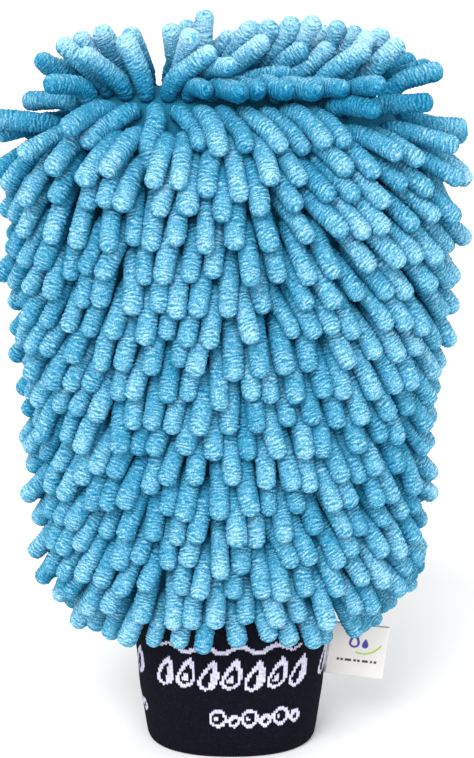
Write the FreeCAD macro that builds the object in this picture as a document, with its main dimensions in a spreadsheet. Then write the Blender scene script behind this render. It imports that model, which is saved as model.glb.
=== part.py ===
import FreeCAD, Part
import math
import os
import Sketcher

# Chenille car wash mitt, standing on its knitted cuff. Millimetres, +Z up through the mitt,
# the front faces -Y, the origin is in the middle of the cuff's rim on the floor.
# The fabric bag is two backing panels sewn round the edge, with a lining inside and a folded
# knit cuff below. Rows of chenille tufts cover both panels, and a label is sewn to the cuff.

os.makedirs("parts", exist_ok=True)
Vector = FreeCAD.Vector
Rotation = FreeCAD.Rotation
UP = Vector(0, 0, 1)

doc = FreeCAD.newDocument("wash_mitt")
dims = doc.addObject("Spreadsheet::Sheet", "dims")
values = {}
next_cell = [1]


def set_size(alias, value, note=""):
    """Write one size into the sheet under a readable name."""
    line = next_cell[0]
    dims.set("A%d" % line, alias)
    dims.set("B%d" % line, str(value))
    dims.set("C%d" % line, note)
    dims.setAlias("B%d" % line, alias)
    values[alias] = value
    next_cell[0] = line + 1


set_size("backing_thickness", 1.2, "knit backing that carries the tufts")
set_size("lining_thickness", 0.8, "thin lining next to the hand")
set_size("cuff_wall", 2.8, "two plies of knit, folded at the rim")
set_size("rim_round", 0.8, "rounding of the folded rim")
set_size("panel_gap", 0.3, "half the gap between the two panels at the seam")
set_size("allowance_inset", 1.7, "outer edge of the seam allowance, in from the backing")
set_size("allowance_width", 2.6, "seam allowance turned to the inside")
set_size("allowance_thickness", 0.9, "one ply of seam allowance")
set_size("allowance_foot", 82, "height where the side seam ends")
set_size("thread_radius", 0.35, "sewing thread")
set_size("stitch_length", 4.6, "one stitch of the edge seam")
set_size("stitch_pitch", 6.0, "from one stitch to the next")
set_size("tack_length", 3.2, "one stitch that holds the label")
set_size("zigzag_length", 4.4, "one stitch of the cuff seam")
set_size("zigzag_pitch", 4.4, "from one zigzag stitch to the next, along the hem")
set_size("cuff_seam_height", 69.5, "middle of the cuff seam")
set_size("tape_thickness", 0.8, "tape over the cuff seam, inside")
set_size("tuft_radius", 3.9, "fat part of a chenille tuft")
set_size("tuft_root_radius", 2.2, "tuft where it leaves the backing")
set_size("tuft_length", 27.0, "root to tip")
set_size("tuft_swell", 8.0, "length over which the tuft grows to full size")
set_size("tuft_pitch", 8.8, "tuft to tuft along a row")
set_size("row_pitch", 12.0, "row to row up the panel")
set_size("crown_pitch", 8.8, "row to row over the rounded top")
set_size("crown_height", 258, "where the closer rows start")
set_size("tuft_lean", 51, "degrees from the fabric's normal, hanging down")
set_size("tuft_lift", 2.6, "root centre above the backing")
set_size("tuft_clear", 0.4, "least gap between two tufts")
set_size("label_length", 23.6, "free leaf, hinge line to fold")
set_size("label_height", 24.0, "label ribbon width")
set_size("label_ply", 0.35, "one ply of satin ribbon")
set_size("label_fold_radius", 0.8, "outside of the fold")
set_size("label_tab", 1.5, "sewn end of the label")
set_size("label_tilt", 6.5, "degrees, square to the cuff's side")

# Height, half width and half depth of the backing, and how much of an inward offset is
# taken off the height, which is all of it where the bag closes at the top.
bag_sections = [
    (66.0, 43.6, 32.2, 0.0),
    (71.0, 46.0, 32.8, 0.0),
    (77.0, 53.0, 33.5, 0.0),
    (84.0, 59.5, 34.2, 0.0),
    (94.0, 63.8, 34.6, 0.0),
    (110.0, 66.0, 34.6, 0.0),
    (135.0, 67.3, 34.2, 0.0),
    (165.0, 69.8, 33.6, 0.0),
    (195.0, 72.3, 33.0, 0.0),
    (220.0, 74.3, 32.2, 0.1),
    (240.0, 75.3, 30.6, 0.3),
    (255.0, 74.0, 27.6, 0.6),
    (266.0, 69.5, 23.6, 0.9),
    (274.0, 62.5, 18.8, 1.0),
    (279.5, 52.5, 13.0, 1.0),
    (282.5, 40.0, 7.5, 1.0),
    (283.5, 28.0, 3.8, 1.0),
]
lining_sections = [
    (62.0, 38.0, 26.8),
    (67.0, 38.1, 27.0),
    (72.0, 38.6, 27.4),
    (76.0, 41.0, 28.6),
    (82.0, 47.5, 30.4),
    (90.0, 55.0, 31.6),
    (104.0, 60.0, 31.8),
    (130.0, 62.2, 31.4),
    (160.0, 64.6, 30.8),
    (190.0, 67.0, 30.2),
    (215.0, 69.0, 29.4),
    (235.0, 69.8, 27.8),
    (249.0, 68.0, 24.8),
    (259.0, 63.5, 21.0),
    (267.0, 56.5, 16.2),
    (272.5, 47.0, 10.6),
    (275.5, 35.0, 5.6),
]
cuff_sections = [
    (0.0, 35.8, 28.2),
    (2.5, 36.5, 28.7),
    (20.0, 38.7, 29.4),
    (43.0, 41.3, 30.3),
    (58.0, 41.9, 30.6),
    (73.0, 41.9, 30.6),
]
for i, (height, width, depth, rise) in enumerate(bag_sections, 1):
    set_size("bag_height_%02d" % i, height)
    set_size("bag_width_%02d" % i, width)
    set_size("bag_depth_%02d" % i, depth)
    set_size("bag_rise_%02d" % i, rise)
for i, (height, width, depth) in enumerate(lining_sections, 1):
    set_size("lining_height_%02d" % i, height)
    set_size("lining_width_%02d" % i, width)
    set_size("lining_depth_%02d" % i, depth)
for i, (height, width, depth) in enumerate(cuff_sections, 1):
    set_size("cuff_height_%02d" % i, height)
    set_size("cuff_width_%02d" % i, width)
    set_size("cuff_depth_%02d" % i, depth)
doc.recompute()


def oval(name, height, width, depth):
    """One oval section, its three sizes given as sheet expressions."""
    ring = doc.addObject("Part::Ellipse", name)
    ring.MajorRadius = 50
    ring.MinorRadius = 2
    ring.setExpression("MajorRadius", width)
    ring.setExpression("MinorRadius", depth)
    ring.setExpression("Placement.Base.z", height)
    return ring


def skin(name, rings):
    """A solid through the ovals."""
    loft = doc.addObject("Part::Loft", name)
    loft.Sections = rings
    loft.Solid = True
    loft.Ruled = False
    return loft


def bag_solid(name, inset):
    """The whole bag, taken in by the expression inset."""
    rings = []
    for i, (height, width, depth, rise) in enumerate(bag_sections, 1):
        deep = values_of(inset)
        if depth - deep < 1.5:
            break
        tag = (i, inset)
        rings.append(
            oval(
                "%s_oval_%02d" % (name, i),
                "dims.bag_height_%02d - dims.bag_rise_%02d * (%s)" % (i, i, inset),
                "dims.bag_width_%02d - (%s)" % tag,
                "dims.bag_depth_%02d - (%s)" % tag,
            )
        )
    return skin(name, rings)


def values_of(inset):
    """The number an inset expression stands for."""
    total = 0.0
    for term in inset.split("+"):
        term = term.strip().replace("dims.", "")
        total += values[term] if term in values else float(term)
    return total


def plain_solid(name, prefix, count, inset):
    """The lining or the cuff, taken in by the expression inset."""
    rings = []
    for i in range(1, count + 1):
        rings.append(
            oval(
                "%s_oval_%02d" % (name, i),
                "dims.%s_height_%02d" % (prefix, i),
                "dims.%s_width_%02d - (%s)" % (prefix, i, inset),
                "dims.%s_depth_%02d - (%s)" % (prefix, i, inset),
            )
        )
    return skin(name, rings)


def cut(name, base, tool):
    node = doc.addObject("Part::Cut", name)
    node.Base = base
    node.Tool = tool
    return node


def common(name, first, second):
    node = doc.addObject("Part::Common", name)
    node.Base = first
    node.Tool = second
    return node


def box(name, low, high):
    """A box between two corners."""
    block = doc.addObject("Part::Box", name)
    block.Length, block.Width, block.Height = [b - a for a, b in zip(low, high)]
    block.Placement.Base = Vector(*low)
    return block


half_spaces = {
    "front": box("front_half", (-120, -80, -10), (120, -0.3, 330)),
    "back": box("back_half", (-120, 0.3, -10), (120, 80, 330)),
}
half_spaces["front"].setExpression("Width", "80 - dims.panel_gap")
half_spaces["back"].setExpression("Placement.Base.y", "dims.panel_gap")

subparts = {}


def keep(node, name):
    """Name a finished sub-part."""
    node.Label = name
    subparts[name] = node
    return node


# --- backing panels: knit fabric, one on each side, sewn round the edge -------------------
bag_outside = bag_solid("bag_outside", "0.0")
bag_inside = bag_solid("bag_inside", "dims.backing_thickness")
bag_foot = box("bag_foot", (-60, -50, 60), (60, 50, 66.5))
bag_wall = cut("bag_wall", bag_outside, bag_inside)
bag_open = cut("bag_open", bag_wall, bag_foot)
for side in ("front", "back"):
    keep(common(side + "_panel", bag_open, half_spaces[side]), side + "_backing_panel")

# --- lining: thin fabric bag inside, in two pieces like the backing -----------------------
lining_count = len(lining_sections)
lining_outside = plain_solid("lining_outside", "lining", lining_count, "0.0")
lining_inside = plain_solid(
    "lining_inside", "lining", lining_count, "dims.lining_thickness"
)
for i in range(13, lining_count + 1):
    ring = doc.getObject("lining_inside_oval_%02d" % i)
    ring.setExpression(
        "Placement.Base.z", "dims.lining_height_%02d - dims.lining_thickness" % i
    )
lining_wall = cut("lining_wall", lining_outside, lining_inside)
for side in ("front", "back"):
    keep(common(side + "_liner", lining_wall, half_spaces[side]), side + "_lining")

# --- seam allowance: the panels' edges turned inwards, one ply from each panel ------------
allowance_rim = bag_solid("allowance_rim", "dims.allowance_inset")
allowance_core = bag_solid("allowance_core", "dims.allowance_inset + dims.allowance_width")
allowance_ring = cut("allowance_ring", allowance_rim, allowance_core)
for side, sign in (("front", -1), ("back", 1)):
    slab = box(side + "_ply", (-120, 0, 0), (120, 1, 300))
    slab.setExpression("Width", "dims.allowance_thickness")
    slab.setExpression("Placement.Base.z", "dims.allowance_foot")
    if sign < 0:
        slab.setExpression("Placement.Base.y", "-0.2 - dims.allowance_thickness")
    else:
        slab.setExpression("Placement.Base.y", "0.2")
    keep(common(side + "_allowance", allowance_ring, slab), side + "_seam_allowance")

# --- cuff: double ply knit tube, folded at the rim it stands on ---------------------------
cuff_count = len(cuff_sections)
cuff_outside = plain_solid("cuff_outside", "cuff", cuff_count, "0.0")
cuff_inside = plain_solid("cuff_inside", "cuff", cuff_count, "dims.cuff_wall")
cuff_tube = cut("cuff_tube", cuff_outside, cuff_inside)
doc.recompute()
cuff_fold = doc.addObject("Part::Fillet", "cuff_fold")
cuff_fold.Base = cuff_tube
rim_edges = []
for number, edge in enumerate(cuff_tube.Shape.Edges, 1):
    if abs(edge.BoundBox.ZMin) < 0.01 and abs(edge.BoundBox.ZMax) < 0.01:
        rim_edges.append((number, values["rim_round"], values["rim_round"]))
cuff_fold.Edges = rim_edges
keep(cuff_fold, "cuff_sleeve")

# --- tape over the cuff seam, inside the lining -------------------------------------------
tape_rings = [[], []]
for i, height in enumerate((64.0, 72.0)):
    for ply, inset in enumerate(("1.9", "1.9 + dims.tape_thickness")):
        tape_rings[ply].append(
            oval(
                "tape_oval_%d_%d" % (i, ply),
                str(height),
                "dims.lining_width_01 - (%s)" % inset,
                "dims.lining_depth_01 - (%s)" % inset,
            )
        )
tape_solid = skin("tape_solid", tape_rings[0])
tape_hole = skin("tape_hole", tape_rings[1])
keep(cut("tape_ring", tape_solid, tape_hole), "cuff_seam_tape")

# --- label: a folded satin ribbon whose two ends are sewn to the cuff's right side ---------
label_frame = FreeCAD.Placement(
    Vector(40.9, 0, 39), Rotation(Vector(0, 1, 0), values["label_tilt"])
)


def on_label(x, y, z, turn=None):
    """A placement given along the label: out from the cuff, to the back, up the cuff."""
    return label_frame.multiply(FreeCAD.Placement(Vector(x, y, z), turn or Rotation()))


label_start = 2.7
label_end = label_start + values["label_length"] - values["label_fold_radius"]
leaves = []
for side, y in (
    ("front", -values["label_fold_radius"]),
    ("back", values["label_fold_radius"] - values["label_ply"]),
):
    leaf = doc.addObject("Part::Box", "label_leaf_" + side)
    leaf.setExpression("Length", "dims.label_length - dims.label_fold_radius")
    leaf.setExpression("Width", "dims.label_ply")
    leaf.setExpression("Height", "dims.label_height")
    leaf.Placement = on_label(label_start, y, -values["label_height"] / 2)
    leaves.append(leaf)
fold_parts = []
for name, size in (
    ("label_fold_outside", "dims.label_fold_radius"),
    ("label_fold_inside", "dims.label_fold_radius - dims.label_ply"),
):
    fold = doc.addObject("Part::Cylinder", name)
    fold.Angle = 180
    fold.setExpression("Radius", size)
    fold.setExpression("Height", "dims.label_height")
    fold.Placement = on_label(
        label_end, 0, -values["label_height"] / 2, Rotation(UP, -90)
    )
    fold_parts.append(fold)
leaves.append(cut("label_fold", *fold_parts))
label = doc.addObject("Part::MultiFuse", "label_ribbon")
label.Shapes = leaves
keep(label, "care_label")

tab = doc.addObject("Part::Box", "label_tab")
tab.setExpression("Length", "dims.label_tab")
tab.setExpression("Width", "2 * dims.label_fold_radius")
tab.setExpression("Height", "dims.label_height")
tab.Placement = on_label(0.5, -values["label_fold_radius"], -values["label_height"] / 2)
keep(tab, "label_sewn_end")


def stitch(name, middle, heading, size):
    """A short straight length of thread about its middle; size names its length."""
    thread = doc.addObject("Part::Cylinder", name)
    thread.setExpression("Radius", "dims.thread_radius")
    thread.setExpression("Height", "dims." + size)
    heading = Vector(heading)
    heading.normalize()
    start = middle - heading * (values[size] / 2)
    thread.Placement = FreeCAD.Placement(start, Rotation(UP, heading))
    return thread


def stitch_row(name, stitches):
    """Stitches kept together as one sub-part."""
    group = doc.addObject("Part::Compound", name + "_group")
    group.Links = stitches
    keep(group, name)


thread_out = values["thread_radius"] + 0.3
tacks = []
for side in (-1, 1):
    for k in range(5):
        y = side * (values["label_fold_radius"] + thread_out)
        low = on_label(1.25, y, -12.0 + 4.8 * k).Base
        high = on_label(1.25, y, -7.2 + 4.8 * k).Base
        middle = (low + high) / 2
        tacks.append(stitch("tack_%d_%d" % (side + 1, k), middle, high - low, "tack_length"))
stitch_row("label_stitches", tacks)

# --- edge seam: a stitch every few millimetres on both faces of the allowance -------------
seam_inset = values["allowance_inset"] + values["allowance_width"] / 2
seam_path = []
for height, width, depth, rise in bag_sections:
    if height - rise * seam_inset > values["allowance_foot"] and depth > 5:
        seam_path.append(Vector(width - seam_inset, 0, height - rise * seam_inset))
seam_top = bag_sections[-1][0] - seam_inset
seam_path.append(Vector(22, 0, seam_top))
seam_path += [Vector(-p.x, 0, p.z) for p in reversed(seam_path)]
seam_line = Part.BSplineCurve()
seam_line.interpolate(seam_path)
seam_edge = seam_line.toShape()
seam_out = 0.2 + values["allowance_thickness"] + thread_out
seam_count = int(seam_edge.Length / values["stitch_pitch"])
seam_stitches = []
for k in range(seam_count):
    where = seam_edge.getParameterByLength((k + 0.5) * seam_edge.Length / seam_count)
    middle = seam_edge.valueAt(where)
    heading = seam_edge.tangentAt(where)
    for side in (-1, 1):
        at = Vector(middle.x, side * seam_out, middle.z)
        name = "seam_%02d_%d" % (k, side + 1)
        seam_stitches.append(stitch(name, at, heading, "stitch_length"))
stitch_row("edge_seam_stitches", seam_stitches)

# --- cuff seam: a zigzag of thread round the hem of the backing ---------------------------
doc.recompute()
outer_face = max(bag_outside.Shape.Faces, key=lambda face: face.Area)


def fabric_normal(point):
    """The backing's outward normal at a point on it."""
    u, v = outer_face.Surface.parameter(point)
    normal = outer_face.normalAt(u, v)
    out = Vector(point.x, point.y, (point.z - 150) * 0.2)
    return normal if normal.dot(out) > 0 else normal * -1


hem_line = bag_outside.Shape.slice(UP, values["cuff_seam_height"])[0]
hem_count = 2 * int(hem_line.Length / values["zigzag_pitch"] / 2)
hem_points = hem_line.discretize(Number=hem_count + 1)[:-1]
zigzags = []
for k, point in enumerate(hem_points):
    normal = fabric_normal(point)
    along = UP.cross(normal)
    along.normalize()
    rise = normal.cross(along)
    heading = along + rise * (0.8 if k % 2 else -0.8)
    at = point + normal * (thread_out + 0.1)
    zigzags.append(stitch("zigzag_%02d" % k, at, heading, "zigzag_length"))
stitch_row("cuff_seam_stitches", zigzags)

# --- one chenille tuft, turned about its own axis -----------------------------------------
tuft = doc.addObject("PartDesign::Body", "tuft")
profile = tuft.newObject("Sketcher::SketchObject", "tuft_profile")
for feature in tuft.Origin.OriginFeatures:
    if getattr(feature, "Role", "") == "XZ_Plane":
        profile.AttachmentSupport = (feature, [""])
profile.MapMode = "FlatFace"
root_radius = values["tuft_root_radius"]
radius = values["tuft_radius"]
length = values["tuft_length"]
swell = values["tuft_swell"]
corners = [
    Vector(0, 0, 0),
    Vector(root_radius, 0, 0),
    Vector(radius, swell, 0),
    Vector(radius, length - radius, 0),
]
for start, end in zip(corners[:-1], corners[1:]):
    profile.addGeometry(Part.LineSegment(start, end), False)
dome = Part.Circle(Vector(0, length - radius, 0), Vector(0, 0, 1), radius)
profile.addGeometry(Part.ArcOfCircle(dome, 0, math.pi / 2), False)
profile.addGeometry(Part.LineSegment(Vector(0, length, 0), corners[0]), False)
constraints = [
    ("Coincident", 0, 2, 1, 1),
    ("Coincident", 1, 2, 2, 1),
    ("Coincident", 2, 2, 3, 1),
    ("Coincident", 3, 2, 4, 1),
    ("Coincident", 4, 2, 0, 1),
    ("Coincident", 0, 1, -1, 1),
    ("Horizontal", 0),
    ("Vertical", 2),
    ("Vertical", 4),
]
for kind, *where in constraints:
    profile.addConstraint(Sketcher.Constraint(kind, *where))
profile.addConstraint(Sketcher.Constraint("PointOnObject", 3, 3, -2))
sized = [
    (Sketcher.Constraint("DistanceX", 0, 1, 0, 2, root_radius), "dims.tuft_root_radius"),
    (Sketcher.Constraint("DistanceX", -1, 1, 1, 2, radius), "dims.tuft_radius"),
    (Sketcher.Constraint("DistanceY", -1, 1, 1, 2, swell), "dims.tuft_swell"),
    (Sketcher.Constraint("DistanceY", -1, 1, 4, 1, length), "dims.tuft_length"),
    (
        Sketcher.Constraint("DistanceY", -1, 1, 2, 2, length - radius),
        "dims.tuft_length - dims.tuft_radius",
    ),
]
for constraint, expression in sized:
    index = profile.addConstraint(constraint)
    profile.setExpression("Constraints[%d]" % index, expression)
turned = tuft.newObject("PartDesign::Revolution", "tuft_turned")
turned.Profile = profile
turned.ReferenceAxis = (profile, ["V_Axis"])
turned.Angle = 360
doc.recompute()

# --- rows of tufts on each panel ----------------------------------------------------------
def row_heights():
    """Heights of the tuft rows, evenly spaced up the middle of a panel."""
    heights = []
    left = values["row_pitch"] * 0.35
    start = (75.0, 33.3)
    for height, width, depth, rise in bag_sections:
        if height <= start[0]:
            continue
        span = math.hypot(height - start[0], depth - start[1])
        along = left
        while along < span:
            heights.append(start[0] + along / span * (height - start[0]))
            crown = heights[-1] > values["crown_height"]
            along += values["crown_pitch"] if crown else values["row_pitch"]
        left = along - span
        start = (height, depth)
    return heights


def segment_gap(a0, a1, b0, b1):
    """Least distance between two straight axes."""
    u, v, w = a1 - a0, b1 - b0, a0 - b0
    a, b, c, d, e = u.dot(u), u.dot(v), v.dot(v), u.dot(w), v.dot(w)
    det = a * c - b * b
    s = min(max((b * e - c * d) / det, 0.0), 1.0) if det > 1e-9 else 0.0
    t = min(max((b * s + e) / c, 0.0), 1.0)
    s = min(max((b * t - d) / a, 0.0), 1.0)
    return (a0 + u * s - b0 - v * t).Length


placed = []


def tuft_axis(point, lean):
    """Root and direction of a tuft that leaves the fabric at point and hangs down."""
    normal = fabric_normal(point)
    down = UP * -1 + normal * UP.dot(normal)
    heading = normal * math.cos(math.radians(lean)) + down * math.sin(math.radians(lean))
    heading.normalize()
    return point + normal * values["tuft_lift"], heading


def fat_part(root, heading):
    """Both ends of the straight line down the middle of a tuft's full-width part."""
    reach = values["tuft_length"] - values["tuft_radius"]
    return root + heading * 3.0, root + heading * reach


def images(root, heading):
    """A tuft on the front right and its likenesses on the other three quarters."""
    found = []
    for across in (1, -1):
        for deep in (1, -1):
            found.append(
                (
                    Vector(root.x * across, root.y * deep, root.z),
                    Vector(heading.x * across, heading.y * deep, heading.z),
                )
            )
    return found


def fits(root, heading, middle):
    """True if a tuft here keeps clear of its own likenesses and of all those in place."""
    need = 2 * values["tuft_radius"] + values["tuft_clear"]
    first, last = fat_part(root, heading)
    others = [fat_part(r, h) for r, h in images(root, heading)]
    others = [others[1]] if middle else others[1:]
    for other_first, other_last in others + placed:
        if (first - other_first).Length < 60:
            if segment_gap(first, last, other_first, other_last) < need:
                return False
    return True


def quarter_ring(height):
    """Points from the middle of the front round to the right side of the bag."""
    wire = bag_outside.Shape.slice(UP, height)[0]
    ring = wire.discretize(Number=1441)[:-1]
    turn = [p for p in ring if p.y < 0.01 and p.x > -0.01]
    turn.sort(key=lambda p: math.atan2(p.x / 75, -p.y / 34))
    return turn


def ring_lengths(path):
    """Distance along the section to each of its points."""
    lengths = [0.0]
    for p, q in zip(path[:-1], path[1:]):
        lengths.append(lengths[-1] + (q - p).Length)
    return lengths


def try_tuft(tufts, point, leans, middle):
    """Add a tuft at point with the first lean that keeps it clear."""
    for lean in leans:
        root, heading = tuft_axis(point, lean)
        if middle:
            root.x = 0
            heading.x = 0
            heading.normalize()
        if fits(root, heading, middle):
            tufts.append((root, heading))
            four = images(root, heading)
            placed.extend(fat_part(r, h) for r, h in (four[:2] if middle else four))
            return


def keep_tufts(name, tufts):
    """Make both panels' sub-parts from one quarter's tufts."""
    whole = tufts + [images(r, h)[2] for r, h in tufts if r.x > 0.01]
    whole.sort(key=lambda t: t[0].x)
    for side, sign in (("front", 1), ("back", -1)):
        links = []
        for k, (root, heading) in enumerate(whole):
            link = doc.addObject("App::Link", "%s_%s_%02d" % (side, name, k + 1))
            link.LinkedObject = tuft
            link.Placement = FreeCAD.Placement(
                Vector(root.x, root.y * sign, root.z),
                Rotation(UP, Vector(heading.x, heading.y * sign, heading.z)),
            )
            links.append(link)
        group = doc.addObject("Part::Compound", "%s_%s" % (side, name))
        group.Links = links
        keep(group, "%s_%s" % (side, name))
    print(name, len(whole))


leans = [values["tuft_lean"] - 3 * k for k in range(10)]
for number, height in enumerate(row_heights()):
    path = quarter_ring(height)
    lengths = ring_lengths(path)
    half = lengths[-1]
    if number % 2 == 0:
        pitch = half / (round(half / values["tuft_pitch"] - 0.5) + 0.5)
        stops = [k * pitch for k in range(int(half / pitch) + 1)]
    else:
        pitch = half / max(1, round(half / values["tuft_pitch"]))
        stops = [(k + 0.5) * pitch for k in range(int(half / pitch) + 1)]
    tufts = []
    for stop in [s for s in stops if s < half - 0.35 * pitch]:
        i = min(range(len(lengths)), key=lambda j: abs(lengths[j] - stop))
        try_tuft(tufts, path[i], leans, stop < 0.1)
    keep_tufts("tuft_row_%02d" % (number + 1), tufts)
print("tufts", len(placed))

doc.recompute()
for name, node in subparts.items():
    shape = node.Shape
    if "Invalid" in node.State or "Error" in node.State:
        raise RuntimeError(name + " is in state " + str(node.State))
    if shape.isNull() or not shape.isValid():
        raise RuntimeError(name + " has no valid shape")
    shape.exportStep("parts/%s.step" % name)
box_all = Part.Compound([n.Shape for n in subparts.values()]).BoundBox
print(box_all)
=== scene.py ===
import math

import bpy
import numpy as np
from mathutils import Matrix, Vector, kdtree


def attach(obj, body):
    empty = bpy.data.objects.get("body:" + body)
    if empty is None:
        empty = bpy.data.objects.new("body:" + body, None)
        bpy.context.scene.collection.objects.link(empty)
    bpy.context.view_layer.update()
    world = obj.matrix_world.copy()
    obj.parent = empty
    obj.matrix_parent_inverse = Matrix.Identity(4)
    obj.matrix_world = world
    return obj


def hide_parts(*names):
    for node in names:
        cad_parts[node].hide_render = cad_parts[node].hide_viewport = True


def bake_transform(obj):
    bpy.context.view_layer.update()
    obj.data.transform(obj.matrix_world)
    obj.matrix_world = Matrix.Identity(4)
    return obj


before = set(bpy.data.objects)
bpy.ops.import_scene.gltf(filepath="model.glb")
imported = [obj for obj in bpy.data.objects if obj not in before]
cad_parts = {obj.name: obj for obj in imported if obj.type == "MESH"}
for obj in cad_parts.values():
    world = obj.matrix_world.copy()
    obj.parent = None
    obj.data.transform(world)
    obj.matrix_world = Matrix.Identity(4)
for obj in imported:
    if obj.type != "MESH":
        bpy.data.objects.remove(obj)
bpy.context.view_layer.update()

# Backing panels. Two knit panels, front and back, sewn together round the edge into a bag
# that is widest near the finger end and gathered into the cuff below. They are the pile's
# blue painted darker, as painted shade, and show only as the dark floor between the tufts.
bag_height = np.array(
    [66, 71, 77, 84, 94, 110, 135, 165, 195, 220, 240, 255, 266, 274, 279.5, 282.5, 283.5]
) / 1000
bag_half_width = np.array(
    [43.6, 46, 53, 59.5, 63.8, 66, 67.3, 69.8, 72.3, 74.3, 75.3, 74, 69.5, 62.5, 52.5, 40, 28]
) / 1000
bag_half_depth = np.array(
    [32.2, 32.8, 33.5, 34.2, 34.6, 34.6, 34.2, 33.6, 33, 32.2, 30.6, 27.6, 23.6, 18.8, 13, 7.5, 3.8]
) / 1000
bag_sizes = (bag_height, bag_half_width, bag_half_depth)
backing_thickness = 0.0012
panel_gap = 0.00001


def smooth_curve(x, xs, ys):
    """A smooth line through the listed sizes, read at x."""
    slopes = np.gradient(ys, xs)
    x = np.clip(x, xs[0], xs[-1])
    i = np.clip(np.searchsorted(xs, x) - 1, 0, len(xs) - 2)
    step = xs[i + 1] - xs[i]
    t = (x - xs[i]) / step
    a, b = 2 * t**3 - 3 * t**2 + 1, t**3 - 2 * t**2 + t
    c, d = -2 * t**3 + 3 * t**2, t**3 - t**2
    return a * ys[i] + b * step * slopes[i] + c * ys[i + 1] + d * step * slopes[i + 1]


def oval_at(sizes, height, inset=0.0):
    """Half width and half depth of a bag or cuff at a height, taken in by inset."""
    wide = smooth_curve(height, sizes[0], sizes[1]) - inset
    deep = smooth_curve(height, sizes[0], sizes[2]) - inset
    return wide, np.maximum(deep, 0.0006)


def mesh_piece(name, points, faces, smooth=True):
    """A mesh object from points and faces, in the scene."""
    mesh = bpy.data.meshes.new(name)
    mesh.from_pydata([tuple(p) for p in points], [], [tuple(f) for f in faces])
    mesh.polygons.foreach_set("use_smooth", [smooth] * len(mesh.polygons))
    mesh.update()
    piece = bpy.data.objects.new(name, mesh)
    bpy.context.scene.collection.objects.link(piece)
    return piece


def shell_piece(name, outer, inner):
    """A closed sheet with an outer and an inner face, both rows by columns of points."""
    rows, columns = outer.shape[:2]
    points = np.concatenate([outer.reshape(-1, 3), inner.reshape(-1, 3)])
    behind = rows * columns
    faces = []
    for i in range(rows - 1):
        for j in range(columns - 1):
            a, b = i * columns + j, i * columns + j + 1
            c, d = b + columns, a + columns
            faces.append((a, b, c, d))
            faces.append((behind + d, behind + c, behind + b, behind + a))
    for j in range(columns - 1):
        low, high = j, (rows - 1) * columns + j
        faces.append((low + 1, low, behind + low, behind + low + 1))
        faces.append((high, high + 1, behind + high + 1, behind + high))
    for i in range(rows - 1):
        left, right = i * columns, i * columns + columns - 1
        faces.append((left, left + columns, behind + left + columns, behind + left))
        faces.append((right + columns, right, behind + right, behind + right + columns))
    return mesh_piece(name, points, faces)


def half_bag(side, sizes, heights, angles, inset, drop=0.0):
    """Points over the front or back half of a bag, taken in by inset and down by drop."""
    wide, deep = oval_at(sizes, heights, inset)
    x = wide[:, None] * np.cos(angles)[None, :]
    y = side * deep[:, None] * np.sin(angles)[None, :]
    y += side * panel_gap * (1 - np.sin(angles)[None, :])
    crown = np.clip((heights - 0.240) / 0.035, 0, 1)
    z = np.repeat((heights - drop * crown)[:, None], len(angles), axis=1)
    return np.stack([x, y, z], axis=-1)


def new_material(name):
    """A node material and its shader."""
    material = bpy.data.materials.new(name)
    material.use_nodes = True
    shader = material.node_tree.nodes["Principled BSDF"]
    return material, shader


def add_node(material, kind, settings=None, **inputs):
    """One shader node. An input given as a socket is linked, any other value is set."""
    tree = material.node_tree
    node = tree.nodes.new(kind)
    for key, value in (settings or {}).items():
        setattr(node, key, value)
    for key, value in inputs.items():
        socket = node.inputs[int(key[1:])] if key[0] == "i" and key[1:].isdigit() else (
            node.inputs[key.replace("_", " ")]
        )
        if isinstance(value, bpy.types.NodeSocket):
            tree.links.new(value, socket)
        else:
            socket.default_value = value
    return node


def colour_ramp(material, factor, stops):
    """A ramp from a list of (position, colour)."""
    ramp = add_node(material, "ShaderNodeValToRGB", Fac=factor)
    elements = ramp.color_ramp.elements
    while len(elements) < len(stops):
        elements.new(0.5)
    for element, (position, colour) in zip(elements, stops):
        element.position = position
        element.color = (*colour, 1)
    return ramp.outputs["Color"]


def feed(material, shader, **sockets):
    """Links sockets into the shader's inputs."""
    for key, socket in sockets.items():
        material.node_tree.links.new(socket, shader.inputs[key.replace("_", " ")])


def fabric_bump(material, shader, height, strength, distance):
    """Raises the surface by a height socket."""
    bump = add_node(material, "ShaderNodeBump", Height=height, Strength=strength, Distance=distance)
    feed(material, shader, Normal=bump.outputs["Normal"])


backing_blue, shader = new_material("backing_knit")
place = add_node(backing_blue, "ShaderNodeTexCoord").outputs["Object"]
loops = add_node(
    backing_blue, "ShaderNodeTexWave", {"bands_direction": "Z"}, Vector=place, Scale=420.0, Distortion=1.5
)
wales = add_node(
    backing_blue, "ShaderNodeTexWave", {"bands_direction": "X"}, Vector=place, Scale=380.0, Distortion=1.0
)
grain = add_node(
    backing_blue, "ShaderNodeMath", {"operation": "ADD"}, i0=loops.outputs["Fac"], i1=wales.outputs["Fac"]
)
patches = add_node(backing_blue, "ShaderNodeTexNoise", Vector=place, Scale=60.0, Detail=4.0)
tone = add_node(
    backing_blue, "ShaderNodeMath", {"operation": "MULTIPLY"}, i0=grain.outputs[0], i1=patches.outputs["Fac"]
)
# Painted shade: the backing is coloured a dark blue so that bare patches and gaps between the tufts read as
# shaded crevices.
backing_shade_blues = [(0.15, (0.001, 0.12, 0.23)), (0.9, (0.003, 0.22, 0.37))]
feed(backing_blue, shader, Base_Color=colour_ramp(backing_blue, tone.outputs[0], backing_shade_blues))
shader.inputs["Roughness"].default_value = 0.95
fabric_bump(backing_blue, shader, grain.outputs[0], 0.5, 0.0004)

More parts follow.
